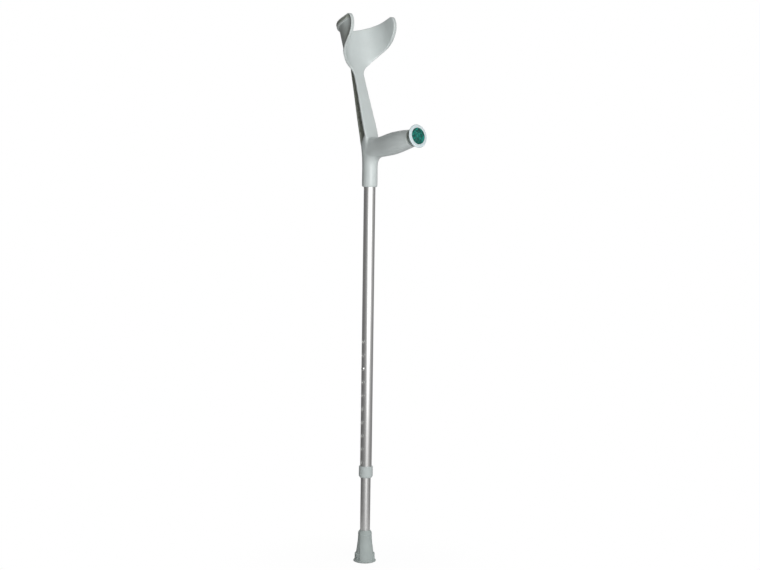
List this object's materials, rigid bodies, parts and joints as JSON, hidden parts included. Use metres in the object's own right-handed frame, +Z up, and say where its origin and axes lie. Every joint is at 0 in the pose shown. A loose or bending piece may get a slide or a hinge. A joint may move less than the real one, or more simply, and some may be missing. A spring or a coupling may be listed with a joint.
{
  "type": "crutch",
  "caption": "Forearm crutch: one-piece cuff, stem and barrel grip with an end reflector, on a two-part tube that adjusts in height with a snap button, over a rubber foot.",
  "frame": {"origin": "centre of the rubber foot's flat sole", "axes": "+Z up along the tubes, -Y the way the grip points and the cuff opens, -X the side with the adjustment holes and the button"},
  "size_m": [0.1112, 0.199, 1.0102],
  "materials": {
    "ferrule": "matte grey rubber",
    "ferrule_washer": "zinc plated",
    "inner_tube": "clear anodised, satin",
    "guide_bush": "moulded",
    "snap_spring": "spring steel",
    "snap_button": "plated",
    "outer_tube": "clear anodised, satin",
    "tube_collar": "moulded light grey",
    "handle_moulding": "moulded light grey, fine matte grain",
    "handle_rivet": "plated",
    "reflector_cap": "moulded white",
    "reflector_lens": "green prismatic reflector"
  },
  "bodies": {
    "leg": {"ferrule": "ferrule", "ferrule_washer": "ferrule_washer", "inner_tube": "inner_tube", "guide_bush": "guide_bush", "snap_spring": "snap_spring"},
    "button": {"snap_button": "snap_button"},
    "upper": {"outer_tube": "outer_tube", "tube_collar": "tube_collar", "handle_moulding": "handle_moulding", "handle_rivet": "handle_rivet", "reflector_cap": "reflector_cap", "reflector_lens": "reflector_lens"}
  },
  "joints": [
    {"name": "height_adjust", "type": "slide", "parent": "leg", "child": "upper", "axis": [0, 0, 1], "range_m": [-0.05, 0.175], "deforming": ["snap_button"]},
    {"name": "button_press", "type": "slide", "parent": "leg", "child": "button", "axis": [1, 0, 0], "range_m": [0, 0.004], "stiffness_N_per_m": 1200, "springref_m": -0.0015, "deforming": ["snap_spring"]}
  ]
}
